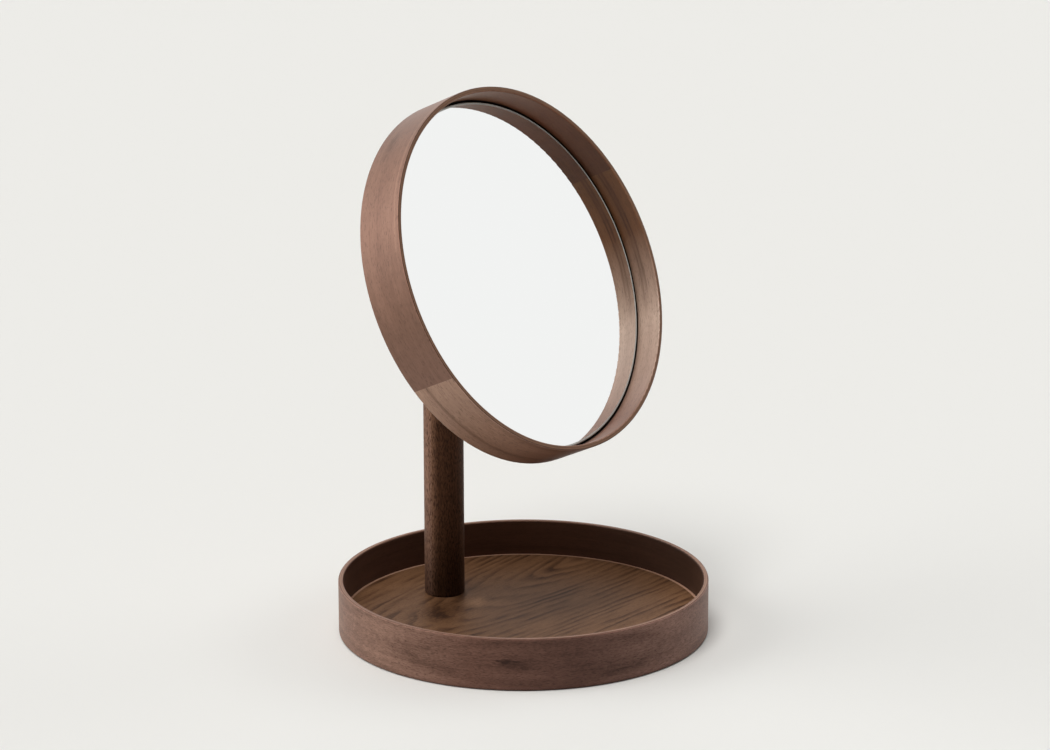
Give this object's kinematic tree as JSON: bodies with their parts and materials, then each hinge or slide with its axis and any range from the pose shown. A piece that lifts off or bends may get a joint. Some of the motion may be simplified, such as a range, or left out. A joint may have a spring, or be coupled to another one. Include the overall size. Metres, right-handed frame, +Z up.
{
  "type": "tabletop vanity mirror with tray",
  "caption": "Round tilting mirror in a deep bent-wood hoop, carried by a ball joint on a post that stands in a round wooden tray for cosmetics and jewellery.",
  "frame": {"origin": "on the table, at the centre of the round tray, level with the undersides of the rubber feet", "axes": "+Z up; the mirror faces -Y and leans back; +X to the right of a person who looks into the mirror"},
  "size_m": [0.33, 0.33, 0.4837],
  "materials": {
    "bent_walnut": "satin lacquered walnut veneer over a bent laminate core",
    "walnut_board": "satin lacquered walnut veneer on board",
    "solid_walnut": "turned solid walnut, satin lacquer",
    "beech": "bare fluted beech",
    "mirror_glass": "silvered float glass with a ground edge",
    "foam_tape": "white closed-cell foam",
    "rubber": "matt black",
    "brass": "turned",
    "zinc_plated_steel": "bright zinc plate",
    "nickel_plated_steel": "satin nickel plate on turned steel",
    "nylon": "natural white nylon"
  },
  "bodies": {
    "base": {"tray_hoop": "bent_walnut", "tray_floor": "walnut_board", "rubber_feet": "rubber", "post": "solid_walnut", "post_dowels": "beech", "post_foot_insert": "brass", "post_bolt": "zinc_plated_steel", "post_washer": "zinc_plated_steel", "stud_insert": "brass", "stud_washer": "nickel_plated_steel", "ball_stud": "nickel_plated_steel"},
    "seat": {"ball_seat": "nylon"},
    "head": {"mirror_hoop": "bent_walnut", "mirror_glass": "mirror_glass", "mounting_tape": "foam_tape", "back_panel": "walnut_board", "socket_cup": "nickel_plated_steel", "cap_ring": "nickel_plated_steel", "ring_lock_screw": "zinc_plated_steel", "socket_screws": "zinc_plated_steel"}
  },
  "joints": [
    {"name": "mirror_swivel", "type": "hinge", "parent": "base", "child": "seat", "pos_m": [0, 0.044, 0.308], "axis": [0, 0, 1], "range_deg": [-20, 20]},
    {"name": "mirror_tilt", "type": "hinge", "parent": "seat", "child": "head", "pos_m": [0, 0.044, 0.308], "axis": [-1, 0, 0], "range_deg": [-38, 12]}
  ]
}
